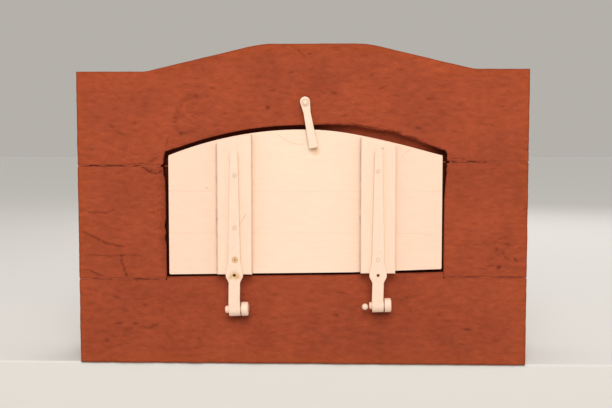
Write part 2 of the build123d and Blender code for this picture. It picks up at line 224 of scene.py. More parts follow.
def face_relief(across, up):
    """How far the dressed face lies behind its plane: gentle waves and the level strokes of the tool."""
    flat = np.stack([across, 0 * across, up], axis=1)
    waves = roughness_at(flat, (13, 1, 17), 3, 3.1)
    strokes = roughness_at(flat, (30, 1, 75), 3, 7.7)
    chips = roughness_at(flat, (55, 1, 85), 2, 1.9)
    chipped = 0.0022 * np.clip(chips - 0.15, 0, 1)
    return np.clip(0.0018 + 0.0021 * waves + 0.0010 * strokes + chipped, 0, 0.005)


def point_values(piece, what):
    """The places or the normals of a piece's points, a row each."""
    values = np.empty(len(piece.data.vertices) * 3)
    piece.data.vertices.foreach_get(what, values)
    return values.reshape(-1, 3)


def set_marks(piece, **marks):
    """Writes what the paint's shader reads at each point: hollows, painted shade with some grime, and the
    outer rim.
    """
    for label, values in marks.items():
        layer = piece.data.attributes.new(label, "FLOAT", "POINT")
        layer.data.foreach_set("value", values.astype(np.float32))


outer_arris, back_arris = 0.0022, 0.003
bed_margin, reveal_margin, foot_height = 0.0004, 0.004, 0.004
deepest_cut, highest_lip = 0.006, 0.0006


def weather(stone, cracks, nicks, arris):
    """Wears a stone down from its exact shape: worn arrises, a dressed face, nicks and cracks."""
    points, normals = point_values(stone, "co"), point_values(stone, "normal")
    count = len(points)
    across, behind, up = points[:, 0].copy(), points[:, 1] - stone_front, points[:, 2].copy()
    on_front = behind < same_plane
    inner, inner_x, inner_z = opening_reach(across, up)
    outer, outer_x, outer_z = outline_reach(across, up)
    from_opening, from_outline = np.maximum(inner, 0), np.maximum(outer, 0)

    jitter = roughness_at(points, (160, 160, 160), 2, 0.4)
    dents, pits = np.zeros(count), np.zeros(count)
    for line, width, depth in cracks:
        gap = line_distance(across + 0.0011 * jitter, up + 0.0016 * jitter, line)
        pits += depth * np.exp(-((gap / width) ** 2)) * (0.75 + 0.45 * jitter)
    for x, z, wide, high, depth, turn in nicks:
        cosine, sine = math.cos(math.radians(turn)), math.sin(math.radians(turn))
        along = (across - x) * cosine + (up - z) * sine
        over = (up - z) * cosine - (across - x) * sine
        hollow = depth * np.exp(-((along / wide) ** 2) - (over / high) ** 2) * (1 + 0.6 * jitter)
        if high < broad_dent:
            pits += hollow
        else:
            dents += hollow
    wear = 1 + 0.5 * roughness_at(points, (26, 26, 26), 2, 5.5)
    deep, wide = round_over(behind, from_opening, arris(across, up) * wear)
    outer_deep, outer_wide = round_over(behind, from_outline, outer_arris * wear)
    back_deep, back_wide = round_over(2 * abs(stone_front) - behind, from_outline, back_arris * wear)

    in_joint = np.any([np.abs(up - level) < bed_margin for level in joint_levels], axis=0)
    sideways = ~on_front & ~in_joint & (np.abs(inner) > reveal_margin)
    side_relief = np.where(sideways, 0.0006 + 0.0006 * roughness_at(points, (20, 20, 20), 3, 8.2), 0)
    points -= normals * np.clip(side_relief, 0, 0.003)[:, None]
    lost = broken_back(across, behind, up, inner, inner_x, inner_z) * (1 + 0.5 * jitter)
    points[:, 0] += lost * inner_x
    points[:, 2] += lost * inner_z
    points[:, 0] += wide * inner_x + (outer_wide + back_wide) * outer_x
    points[:, 2] += wide * inner_z + (outer_wide + back_wide) * np.where(up < foot_height, 0, outer_z)
    points[:, 1] += deep + outer_deep - back_deep
    relief = face_relief(across, up) + np.clip(dents + pits, -highest_lip, deepest_cut)
    points[:, 1] += np.where(on_front, relief, 0)
    points[:, 1] = np.maximum(points[:, 1], stone_front)
    stone.data.vertices.foreach_set("co", points.ravel())

    # Painted shade darkens the rebate, less on a strip under the lintel's right side where light reaches it.
    in_rebate = (behind > 0.002) & (behind < rebate_floor) & (inner < rebate_width + rebate_margin)
    lit_rebate_strip = np.interp(across, (0.03, 0.14, 0.30, 0.345), (0, 1, 1, 0)) * (up > 0.5)
    left_of_flap = (across < opening_middle) * (up > 0.24) * (up < 0.5)
    # On the face, shade is painted under the hinge knuckles, beside the flap on the left, along the
    # opening's edge and as a thin line along the outer outline.
    painted_knuckle_shadows = np.zeros(count)
    for x, z in knuckle_shadows:
        painted_knuckle_shadows += 0.62 * on_front * np.exp(-(((across - x) / 0.026) ** 4) - ((up - z) / 0.0085) ** 2)
    face_grime = [
        0.32 * np.clip(1 - inner / 0.02, 0, 1) * left_of_flap,
        painted_knuckle_shadows,
        0.3 * np.clip(1 - inner / 0.004, 0, 1),
        0.38 * np.exp(-((from_outline / 0.003) ** 2)),
    ]
    set_marks(
        stone,
        hollow=np.where(on_front, np.clip(pits / 0.0036, 0, 1), 0),
        grime=np.where(in_rebate, 1 - 0.6 * lit_rebate_strip, np.max(face_grime, axis=0)),
        rim=np.exp(-from_outline / 0.016) * on_front,
    )


def refine(stone, lines, reach):
    """Cuts the cells along the cracks smaller, so that a narrow crack has a shape."""
    mesh = bmesh.new()
    mesh.from_mesh(stone.data)
    front_plane = stone_front + same_plane
    edges = [edge for edge in mesh.edges if max(vert.co.y for vert in edge.verts) < front_plane]
    middles = np.array([(edge.verts[0].co + edge.verts[1].co) / 2 for edge in edges])
    near = np.zeros(len(edges), bool)
    for line in lines:
        near |= line_distance(middles[:, 0], middles[:, 2], line) < reach
    crossed = [edge for edge, close in zip(edges, near) if close]
    bmesh.ops.subdivide_edges(mesh, edges=crossed, cuts=2, use_grid_fill=True)
    mesh.to_mesh(stone.data)
    mesh.free()


def tidy_faces(piece, sharp_angle):
    """Cuts faces of many sides into triangles and smooths the rest between sharp edges."""
    mesh = bmesh.new()
    mesh.from_mesh(piece.data)
    bmesh.ops.triangulate(mesh, faces=[face for face in mesh.faces if len(face.verts) > 4])
    bmesh.ops.recalc_face_normals(mesh, faces=mesh.faces)
    mesh.to_mesh(piece.data)
    mesh.free()
    piece.data.shade_smooth()
    piece.data.set_sharp_from_angle(angle=math.radians(sharp_angle))


def scattered_nicks(seed, amount, area):
    """Small level nicks that the tool and the weather left, scattered over an area of the face."""
    random = np.random.default_rng(seed)
    x0, z0, x1, z1 = area
    return [
        (
            random.uniform(x0, x1),
            random.uniform(z0, z1),
            random.uniform(0.003, 0.010),
            random.uniform(0.0014, 0.0024),
            random.uniform(0.0004, 0.0012),
            random.normal(0, 9),
        )
        for _ in range(amount)
    ]


def place(tree, kind, inputs=(), **settings):
    """A node with its settings, whose inputs are numbers or the outputs of other nodes."""
    made = tree.nodes.new(kind)
    for name, value in settings.items():
        setattr(made, name, value)
    for name, value in dict(inputs).items():
        if isinstance(value, bpy.types.NodeSocket):
            tree.links.new(value, made.inputs[name])
        else:
            made.inputs[name].default_value = value
    return made


def shared_effect(name, inputs, outputs):
    """An empty node group with named inputs and outputs, each a kind of socket and its first value."""
    group = bpy.data.node_groups.new(name, "ShaderNodeTree")
    for label, (kind, value) in inputs.items():
        group.interface.new_socket(label, in_out="INPUT", socket_type=kind).default_value = value
    for label, kind in outputs.items():
        group.interface.new_socket(label, in_out="OUTPUT", socket_type=kind)
    return group, group.nodes.new("NodeGroupInput"), group.nodes.new("NodeGroupOutput")


def math_of(tree, operation, *values, clamp=False):
    """The result of a sum on numbers and the outputs of other nodes."""
    made = place(tree, "ShaderNodeMath", dict(enumerate(values)), operation=operation, use_clamp=clamp)
    return made.outputs[0]


def vector_math_of(tree, operation, *values):
    """The same for vectors, which gives a number where a length or a dot product is asked for."""
    made = place(tree, "ShaderNodeVectorMath", dict(enumerate(values)), operation=operation)
    return made.outputs["Value" if operation in ("LENGTH", "DOT_PRODUCT") else "Vector"]


def scaled(tree, vector, factor):
    """A vector or a colour times a number."""
    values = {0: vector, "Scale": factor}
    return place(tree, "ShaderNodeVectorMath", values, operation="SCALE").outputs["Vector"]


def noise_at(tree, spot, scale, detail, roughness=0.5):
    """Fractal noise, from 0 to 1 and mostly near the middle."""
    values = {"Vector": spot, "Scale": scale, "Detail": detail, "Roughness": roughness}
    return place(tree, "ShaderNodeTexNoise", values).outputs["Fac"]


def ramp(tree, value, low, high, to_low=0.0, to_high=1.0):
    """A value taken from one range to another and held inside it."""
    values = {"Value": value, "From Min": low, "From Max": high, "To Min": to_low, "To Max": to_high}
    return place(tree, "ShaderNodeMapRange", values).outputs["Result"]


def blend(tree, share, first, second):
    """The first colour where the share is 0 and the second where it is 1."""
    values = {"Factor": share, "A": first, "B": second}
    return place(tree, "ShaderNodeMix", values, data_type="RGBA").outputs["Result"]


def drawn_mark(tree, label):
    """A mark that set_marks has written on the mesh."""
    return place(tree, "ShaderNodeAttribute", attribute_name=label).outputs["Fac"]


def give(group, result, **values):
    """Joins a shared effect's values to its outputs."""
    for label, value in values.items():
        group.links.new(value, result.inputs[label])


def make_stone_paint():
    """Oxide-red paint on dressed stone: mottled, streaked, dark with dirt and painted shade in every hollow.
    """
    group, given, result = shared_effect(
        "stone_paint",
        {
            "Paint": ("NodeSocketColor", (0.4, 0.07, 0.03, 1)),
            "Faded": ("NodeSocketColor", (0.4, 0.07, 0.03, 1)),
            "Rim": ("NodeSocketColor", (0.4, 0.07, 0.03, 1)),
            "Dirt and Shade": ("NodeSocketColor", (0.05, 0.01, 0.01, 1)),
            "Shade and Grime": ("NodeSocketColor", (0.01, 0.01, 0.01, 1)),
        },
        {"Color": "NodeSocketColor", "Roughness": "NodeSocketFloat", "Height": "NodeSocketFloat"},
    )
    spot = place(group, "ShaderNodeTexCoord").outputs["Object"]
    flat = place(group, "ShaderNodeMapping", {"Vector": spot, "Scale": (1, 1, 2)}).outputs["Vector"]
    cloud = noise_at(group, spot, 7.0, 6.0, 0.62)
    streak = noise_at(group, flat, 42.0, 5.0, 0.6)
    grain = noise_at(group, spot, 520.0, 3.0, 0.6)
    blotch = noise_at(group, flat, 14.0, 4.0, 0.55)
    body = blend(group, ramp(group, cloud, 0.38, 0.66), given.outputs["Paint"], given.outputs["Faded"])
    rim_share = math_of(group, "MULTIPLY", drawn_mark(group, "rim"), blotch, clamp=True)
    rimmed = blend(group, rim_share, body, given.outputs["Rim"])
    strokes = ramp(group, streak, 0.3, 0.7, 0.85, 1.10)
    specks = ramp(group, grain, 0.3, 0.7, 0.9, 1.08)
    # The paint is a little darker towards the bottom.
    above_ground = place(group, "ShaderNodeSeparateXYZ", {"Vector": spot}).outputs["Z"]
    darker_low = ramp(group, above_ground, 0.02, 0.6, 0.93, 1.0)
    mottle = math_of(group, "MULTIPLY", strokes, specks)
    shaded = scaled(group, rimmed, math_of(group, "MULTIPLY", mottle, darker_low))
    # Hollows darken with dirt and painted shade, and the second mark lays painted shade, with grime only
    # along the mortar's cracks.
    dirt_and_shade_share = math_of(group, "MULTIPLY", drawn_mark(group, "hollow"), 0.5, clamp=True)
    with_dirt_and_shade = blend(group, dirt_and_shade_share, shaded, given.outputs["Dirt and Shade"])
    shaded_and_grimed = blend(group, drawn_mark(group, "grime"), with_dirt_and_shade, given.outputs["Shade and Grime"])
    gloss = ramp(group, blotch, 0.3, 0.7, 0.8, 0.95)
    give(group, result, Color=shaded_and_grimed, Roughness=gloss, Height=math_of(group, "ADD", streak, grain))
    return group


stone_paint = make_stone_paint()


def empty_material(name):
    """A material without nodes, and its tree."""
    material = bpy.data.materials.new(name)
    material.use_nodes = True
    material.node_tree.nodes.clear()
    return material, material.node_tree


def finish_material(tree, colour, roughness, height, bump_strength, bump_depth, specular):
    """Ends a material's nodes with bump, one shader and the output."""
    relief = {"Strength": bump_strength, "Distance": bump_depth, "Height": height}
    bump = place(tree, "ShaderNodeBump", relief)
    values = {
        "Base Color": colour,
        "Roughness": roughness,
        "Normal": bump.outputs["Normal"],
        "Specular IOR Level": specular,
    }
    shader = place(tree, "ShaderNodeBsdfPrincipled", values)
    place(tree, "ShaderNodeOutputMaterial", {"Surface": shader.outputs["BSDF"]})


def painted(name, colours, bump_strength, bump_depth, specular):
    """A material of the stone's red paint."""
    material, tree = empty_material(name)
    look = place(tree, "ShaderNodeGroup", colours, node_tree=stone_paint).outputs
    finish_material(
        tree, look["Color"], look["Roughness"], look["Height"], bump_strength, bump_depth, specular
    )
    return material


def coat(piece, material):
    """Gives a piece its one material."""
    piece.data.materials.clear()
    piece.data.materials.append(material)


stone_colours = (
    ("Paint", (0.335, 0.0625, 0.0245, 1)),
    ("Faded", (0.272, 0.0505, 0.0210, 1)),
    ("Rim", (0.350, 0.0640, 0.0140, 1)),
    ("Dirt and Shade", (0.090, 0.018, 0.008, 1)),
    ("Shade and Grime", (0.060, 0.0075, 0.0015, 1)),
)
painted_stone = painted("painted_stone", stone_colours, 0.5, 0.0012, 0.12)


stone_cell, stone_front_cell, crack_reach = 0.0065, 0.0029, 0.0042


def dress_stone(node, name, cracks, nicks, arris):
    """Makes the visible stone in place of its exact solid."""
    stone = sliced_copy(node, name, stone_cell, stone_front_cell)
    refine(stone, [line for line, _, _ in cracks], crack_reach)
    weather(stone, cracks, nicks, arris)
    tidy_faces(stone, 55)
    coat(stone, painted_stone)
    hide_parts(node)
    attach(stone, "surround")


dress_stone(
    "sill_stone",
    "sill_stone_dressed",
    sill_cracks,
    sill_nicks + scattered_nicks(11, 44, (-0.54, 0.02, 0.54, 0.21)),
    lambda across, up: 0.0022 + 0.0016 * np.exp(-((across / 0.12) ** 2)),
)

# The jamb stones stand on the ends of the sill, with a rebate cut for the flap.
# The left one has split along a slanting crack and an upright one, and its arris has hollowed out.
# The right one has a patch of soft stone that has rotted into dark pits.
left_jamb_cracks = [
    (
        [(-0.5456, 0.3285), (-0.5253, 0.3185), (-0.4962, 0.3047), (-0.4763, 0.298), (-0.4484, 0.293)],
        0.0028, 0.0032,
    ),
    ([(-0.4527, 0.2711), (-0.4522, 0.2552), (-0.4451, 0.235), (-0.4393, 0.2205)], 0.0025, 0.0034),
    ([(-0.5349, 0.3791), (-0.487, 0.3785), (-0.471, 0.3865)], 0.0026, 0.0022),
    (
        [(-0.5326, 0.2728), (-0.5058, 0.2706), (-0.4768, 0.269), (-0.4487, 0.2718), (-0.4088, 0.2712)],
        0.0024, 0.0018,
    ),
    ([(-0.547, 0.2338), (-0.5333, 0.2346), (-0.5167, 0.225), (-0.5016, 0.2187)], 0.0018, 0.0026),
    (
        [(-0.3994, 0.4951), (-0.3845, 0.4851), (-0.3703, 0.4777), (-0.357, 0.4782), (-0.3432, 0.4842)],
        0.0018, 0.0034,
    ),
]
left_jamb_nicks = [
    (-0.3715, 0.3742, 0.006, 0.035, 0.0034, 0),
    (-0.352, 0.40, 0.010, 0.075, 0.0042, 0),
    (-0.350, 0.30, 0.007, 0.060, 0.0022, 0),
    (-0.50, 0.435, 0.030, 0.008, 0.0010, 10),
    (-0.44, 0.335, 0.040, 0.012, 0.0011, -8),
    (-0.405, 0.42, 0.020, 0.006, 0.0011, 20),
    (-0.375, 0.486, 0.016, 0.006, 0.0020, -20),
]
right_jamb_cracks = [
    ([(0.442, 0.4871), (0.465, 0.4893), (0.487, 0.4891)], 0.0013, 0.0013),
]
right_jamb_nicks = [
    (0.4998, 0.2845, 0.020, 0.022, 0.0016, 0),
    (0.4906, 0.2440, 0.0055, 0.0045, 0.0042, 20),
    (0.5119, 0.2999, 0.0060, 0.0050, 0.0036, 0),
    (0.5316, 0.2637, 0.0040, 0.0055, 0.0036, 30),
    (0.5013, 0.2807, 0.0050, 0.0060, 0.0032, -20),
    (0.4850, 0.2894, 0.0060, 0.0045, 0.0026, 10),
    (0.5090, 0.2680, 0.0080, 0.0035, 0.0026, -35),
    (0.4700, 0.2480, 0.0100, 0.0028, 0.0020, 10),
    (0.5050, 0.3180, 0.0060, 0.0040, 0.0018, 10),
    (0.4434, 0.3794, 0.018, 0.016, 0.0010, 0),
    (0.4434, 0.3794, 0.012, 0.010, -0.0008, 0),
]
dress_stone(
    "left_jamb_stone",
    "left_jamb_stone_dressed",
    left_jamb_cracks,
    left_jamb_nicks + scattered_nicks(23, 14, (-0.55, 0.225, -0.36, 0.49)),
    lambda across, up: 0.0045 + 0.003 * np.exp(-(((up - 0.41) / 0.06) ** 2)),
)
dress_stone(
    "right_jamb_stone",
    "right_jamb_stone_dressed",
    right_jamb_cracks,
    right_jamb_nicks + scattered_nicks(31, 14, (0.37, 0.23, 0.55, 0.50)),
    lambda across, up: 0.003 + 0 * across,
)

# The lintel is one arched stone that spans both jambs and reaches down to them with two short legs.
# Its arris has broken away along the right of the arch, and a round hollow has worn in its left side.
# The joints under its legs were pointed and then painted over.
lintel_cracks = [
    ([(-0.0079, 0.7815), (0.0002, 0.7713), (0.0093, 0.7669)], 0.0015, 0.0016),
    ([(-0.3356, 0.5624), (-0.3337, 0.5542), (-0.3353, 0.5438)], 0.0014, 0.0020),
    (
        [(-0.2604, 0.6684), (-0.2803, 0.666), (-0.2953, 0.6562), (-0.3054, 0.6402), (-0.3111, 0.6205),
         (-0.3133, 0.6007), (-0.3097, 0.5859), (-0.2986, 0.576)],
        0.0060, 0.0022,
    ),
    ([(0.3667, 0.5153), (0.3863, 0.5153), (0.4042, 0.5134)], 0.0014, 0.0016),
    ([(-0.3943, 0.5036), (-0.412, 0.5010), (-0.430, 0.4996)], 0.0014, 0.0018),
]
lintel_nicks = [
    (-0.0821, 0.6399, 0.0055, 0.0045, 0.0040, 0),
    (-0.092, 0.6202, 0.012, 0.006, -0.0010, -40),
    (-0.0699, 0.6826, 0.010, 0.0026, 0.0030, 4),
    (-0.0500, 0.6790, 0.006, 0.0020, 0.0018, -20),
    (-0.2205, 0.6887, 0.006, 0.0026, 0.0026, -10),
    (-0.472, 0.5934, 0.007, 0.0032, 0.0028, -15),
    (-0.455, 0.578, 0.012, 0.0030, 0.0020, -25),
    (-0.4144, 0.6013, 0.006, 0.0032, 0.0026, 0),
    (-0.47, 0.648, 0.010, 0.0030, 0.0018, 25),
    (-0.5203, 0.5363, 0.006, 0.0030, 0.0024, 10),
    (-0.2863, 0.5777, 0.020, 0.0050, 0.0020, 8),
    (-0.0252, 0.725, 0.007, 0.0024, 0.0020, 15),
    (0.0196, 0.7712, 0.008, 0.0024, 0.0020, -10),
    (0.08, 0.675, 0.009, 0.0026, 0.0026, -12),
    (0.1963, 0.686, 0.009, 0.0024, 0.0022, 22),
    (0.2339, 0.6691, 0.010, 0.0026, 0.0022, -5),
    (0.1065, 0.6188, 0.007, 0.0030, 0.0026, 25),
    (0.289, 0.5885, 0.007, 0.0030, 0.0028, -10),
    (0.1719, 0.7177, 0.006, 0.0024, 0.0016, 0),
    (0.3165, 0.6596, 0.010, 0.0026, 0.0018, 0),
    (0.3897, 0.6447, 0.006, 0.0028, 0.0018, 0),
    (0.292, 0.6372, 0.010, 0.0030, 0.0020, 10),
    (-0.2662, 0.6303, 0.034, 0.036, 0.0042, 0),
    (-0.258, 0.634, 0.010, 0.008, -0.0018, 30),
    (-0.362, 0.512, 0.020, 0.007, 0.0026, 22),
    (-0.375, 0.507, 0.016, 0.004, 0.0018, 28),
    (-0.30, 0.615, 0.006, 0.030, 0.0012, 0),
]


def arch_wear(across, up):
    """The lintel's arris is nearly whole on the left and broken away to the right of the latch."""
    broken = np.clip((across - 0.02) / 0.09, 0, 1) * np.clip((0.33 - across) / 0.05, 0, 1)
    return 0.0028 + 0.0100 * broken * (up > 0.5)


dress_stone(
    "lintel_stone",
    "lintel_stone_dressed",
    lintel_cracks,
    lintel_nicks + scattered_nicks(47, 62, (-0.54, 0.52, 0.54, 0.77)),
    arch_wear,
)

# The joints are lime mortar, five millimetres thick, struck nearly flush and painted with the stone.
# Along part of each one the mortar has shrunk away and left a dark crack.
painted_mortar = painted("painted_mortar", stone_colours, 0.7, 0.0014, 0.25)
mortar_cell, mortar_front_cell = 0.008, 0.00125


def point_joint(node, name, cracked, edge):
    """Strikes a joint's mortar out to the face of the stones, and opens its crack along one edge."""
    joint = sliced_copy(node, name, mortar_cell, mortar_front_cell)
    low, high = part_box(node)
    points = point_values(joint, "co")
    across, up = points[:, 0].copy(), points[:, 2].copy()
    front = points[:, 1] < low.y + same_plane
    wander = roughness_at(np.stack([across, 0 * across, 0 * up], axis=1), (34, 1, 1), 4, 2.2)
    open_share = np.zeros(len(points))
    for start, end, depth in cracked:
        span = np.clip((across - start) / 0.008, 0, 1) * np.clip((end - across) / 0.008, 0, 1)
        open_share = np.maximum(open_share, span * depth)
    middle = low.z + (high.z - low.z) * np.clip(edge + 0.5 * wander, 0, 1)
    groove = np.exp(-(((up - middle) / 0.0014) ** 2)) * open_share * np.clip(1 + 1.5 * wander, 0.1, 1.6)
    struck = stone_front + 0.0002 + face_relief(across, up) + groove
    points[:, 1] = np.where(front, struck, points[:, 1])
    inner, inner_x, inner_z = opening_reach(across, up)
    behind = points[:, 1] - stone_front
    lost = broken_back(across, behind, up, inner, inner_x, inner_z)
    points[:, 0] += (lost + 0.004 * (lost > 0.003)) * inner_x
    joint.data.vertices.foreach_set("co", points.ravel())
    outer, _, _ = outline_reach(across, up)
    in_rebate = ~front & (behind < rebate_floor) & (inner < rebate_width + rebate_margin)
    # Along the crack the front is darkened with grime, and in the rebate the joint gets painted shade.
    set_marks(
        joint,
        hollow=np.where(front, np.clip(groove / 0.0016, 0, 1), 0),
        grime=np.where(front, np.clip(groove / 0.009, 0, 0.5), in_rebate),
        rim=np.where(front, np.exp(-np.maximum(outer, 0) / 0.022), 0),
    )
    tidy_faces(joint, 60)
    coat(joint, painted_mortar)
    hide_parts(node)
    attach(joint, "surround")


point_joint("left_bed_mortar", "left_bed_pointing", [(-0.53, -0.47, 0.0008), (-0.44, -0.352, 0.0018)], 0.3)
point_joint("right_bed_mortar", "right_bed_pointing", [(0.366, 0.445, 0.0010), (0.468, 0.558, 0.0014)], 0.55)
point_joint("left_head_mortar", "left_head_pointing", [(-0.555, -0.40, 0.0026)], 0.45)
point_joint("right_head_mortar", "right_head_pointing", [(0.362, 0.462, 0.0020)], 0.35)

# The flap is three boards edge to edge, with two battens across their front.
# Many coats of cream oil paint have filled the joints, and it has cracked along the battens, where the dark
# lines also stand as painted shade in the creases.
# The grain still shows a little, level on the boards and upright on the battens.
def make_oil_paint():
    """Thick cream paint: brush marks along the grain, warmer blotches and a dull sheen."""
    group, given, result = shared_effect(
        "oil_paint",
        {
            "Paint": ("NodeSocketColor", (0.9, 0.7, 0.5, 1)),
            "Blush": ("NodeSocketColor", (0.9, 0.7, 0.5, 1)),
            "Stretch": ("NodeSocketVector", (1, 1, 1)),
            "Lumps": ("NodeSocketFloat", 0.0),
        },
        {"Color": "NodeSocketColor", "Roughness": "NodeSocketFloat", "Height": "NodeSocketFloat"},
    )
    spot = place(group, "ShaderNodeTexCoord").outputs["Object"]
    stretched = {"Vector": spot, "Scale": given.outputs["Stretch"]}
    along = place(group, "ShaderNodeMapping", stretched).outputs["Vector"]
    brush = noise_at(group, along, 55.0, 4.0, 0.6)
    dust = noise_at(group, spot, 240.0, 3.0, 0.6)
    patch = ramp(group, noise_at(group, spot, 5.0, 3.0), 0.35, 0.7, 0.0, 0.35)
    across = place(group, "ShaderNodeSeparateXYZ", {"Vector": spot}).outputs["X"]
    beyond = math_of(group, "ABSOLUTE", math_of(group, "SUBTRACT", across, opening_middle))
    share = math_of(group, "ADD", patch, ramp(group, beyond, 0.06, 0.24, 0.0, 0.8), clamp=True)
    tinted = blend(group, share, given.outputs["Paint"], given.outputs["Blush"])
    shaded = scaled(group, tinted, ramp(group, brush, 0.3, 0.7, 0.965, 1.02))
    gloss = ramp(group, dust, 0.3, 0.7, 0.42, 0.62)
    brushed = math_of(group, "ADD", brush, math_of(group, "MULTIPLY", dust, 0.35))
    lumpy = math_of(group, "MULTIPLY", noise_at(group, spot, 85.0, 2.0), given.outputs["Lumps"])
    give(group, result, Color=shaded, Roughness=gloss, Height=math_of(group, "ADD", brushed, lumpy))
    return group


def seen_from(group, start):
    """A point's place, and the way to it along the front from another place."""
    spot = place(group, "ShaderNodeTexCoord").outputs["Object"]
    away = vector_math_of(group, "SUBTRACT", spot, start)
    return spot, vector_math_of(group, "MULTIPLY", away, (1, 0, 1))


def fading(group, distance, reach):
    """1 where a distance is nothing, down to 0 at its reach and beyond."""
    return math_of(group, "SUBTRACT", 1.0, math_of(group, "DIVIDE", distance, reach), clamp=True)


def make_spot_mark():
    """A soft round mark at a place on the front, 1 in its middle and 0 beyond its radius."""
    group, given, result = shared_effect(
        "spot_mark",
        {
            "Place": ("NodeSocketVector", (0, 0, 0)),
            "Radius": ("NodeSocketFloat", 0.01),
            "Ragged": ("NodeSocketFloat", 0.003),
        },
        {"Mask": "NodeSocketFloat"},
    )
    spot, flat = seen_from(group, given.outputs["Place"])
    torn = math_of(group, "SUBTRACT", noise_at(group, spot, 260.0, 3.0), 0.5)
    swing = math_of(group, "MULTIPLY", torn, given.outputs["Ragged"])
    moved = math_of(group, "ADD", vector_math_of(group, "LENGTH", flat), swing)
    give(group, result, Mask=fading(group, moved, given.outputs["Radius"]))
    return group


def make_line_mark():
    """A thin mark from one place to another on the front, that comes and goes along its length."""
    group, given, result = shared_effect(
        "line_mark",
        {
            "Start": ("NodeSocketVector", (0, 0, 0)),
            "Run": ("NodeSocketVector", (1, 0, 0)),
            "Width": ("NodeSocketFloat", 0.001),
            "Broken": ("NodeSocketFloat", 0.5),
        },
        {"Mask": "NodeSocketFloat"},
    )
    spot, flat = seen_from(group, given.outputs["Start"])
    run = given.outputs["Run"]
    forward = vector_math_of(group, "DOT_PRODUCT", flat, run)
    length = vector_math_of(group, "DOT_PRODUCT", run, run)
    reached = scaled(group, run, math_of(group, "DIVIDE", forward, length, clamp=True))
    distance = vector_math_of(group, "LENGTH", vector_math_of(group, "SUBTRACT", flat, reached))
    shift = ramp(group, noise_at(group, spot, 60.0, 3.0), 0.3, 0.7, 0.0, 0.0008)
    strength = fading(group, math_of(group, "ADD", distance, shift), given.outputs["Width"])
    shown = ramp(group, noise_at(group, spot, 34.0, 2.0), given.outputs["Broken"], 0.72)
    give(group, result, Mask=math_of(group, "MULTIPLY", strength, shown, clamp=True))
    return group


def make_arc_mark():
    """A thin arc about a place on the front, between two distances to the side."""
    group, given, result = shared_effect(
        "arc_mark",
        {
            "Middle": ("NodeSocketVector", (0, 0, 0)),
            "Radius": ("NodeSocketFloat", 0.1),
            "Width": ("NodeSocketFloat", 0.001),
            "From": ("NodeSocketFloat", -0.1),
            "To": ("NodeSocketFloat", 0.0),
        },
        {"Mask": "NodeSocketFloat"},
    )
    _, flat = seen_from(group, given.outputs["Middle"])
    beside = math_of(group, "SUBTRACT", vector_math_of(group, "LENGTH", flat), given.outputs["Radius"])
    strength = fading(group, math_of(group, "ABSOLUTE", beside), given.outputs["Width"])
    sideways = place(group, "ShaderNodeSeparateXYZ", {"Vector": flat}).outputs["X"]
    begun = math_of(group, "GREATER_THAN", sideways, given.outputs["From"])
    ended = math_of(group, "LESS_THAN", sideways, given.outputs["To"])
    within = math_of(group, "MULTIPLY", begun, ended)
    give(group, result, Mask=math_of(group, "MULTIPLY", strength, within))
    return group


oil_paint, spot_mark = make_oil_paint(), make_spot_mark()
line_mark, arc_mark = make_line_mark(), make_arc_mark()


def cream_material(
    name, stretch, bump_strength, marks, paint=(0.80, 0.61, 0.47, 1), blush=(0.80, 0.565, 0.435, 1),
    lumps=0.0, front_only=True,
):
    """Cream paint and its marks: each a shared effect, its values, the colour it leaves and how much."""
    material, tree = empty_material(name)
    values = {"Paint": paint, "Blush": blush, "Stretch": stretch, "Lumps": lumps}
    look = place(tree, "ShaderNodeGroup", values, node_tree=oil_paint).outputs
    colour, height = look["Color"], look["Height"]
    normal = place(tree, "ShaderNodeTexCoord").outputs["Normal"]
    turned_back = place(tree, "ShaderNodeSeparateXYZ", {"Vector": normal}).outputs["Y"]
    marked_side = math_of(tree, "LESS_THAN", turned_back, -0.3 if front_only else 2.0)
    for effect, values, tint, strength in marks:
        mark = place(tree, "ShaderNodeGroup", values, node_tree=effect).outputs["Mask"]
        whole = math_of(tree, "MULTIPLY", mark, strength, clamp=True)
        share = math_of(tree, "MULTIPLY", whole, marked_side)
        colour = blend(tree, share, colour, tint)
        height = math_of(tree, "SUBTRACT", height, share)
    finish_material(tree, colour, look["Roughness"], height, bump_strength, 0.0006, 0.35)
    return material


def spot_at(x, z, radius, ragged=0.004):
    """A spot on the front, about a place."""
    return spot_mark, {"Place": (x, 0, z), "Radius": radius, "Ragged": ragged}


def ring_round(x, z, radius, width):
    """A whole ring on the front."""
    return arc_mark, {"Middle": (x, 0, z), "Radius": radius, "Width": width, "From": -1.0, "To": 1.0}


def line_from(x, z, run_x, run_z, width, broken=0.3):
    """A line on the front from a place, as far as its run."""
    return line_mark, {"Start": (x, 0, z), "Run": (run_x, 0, run_z), "Width": width, "Broken": broken}


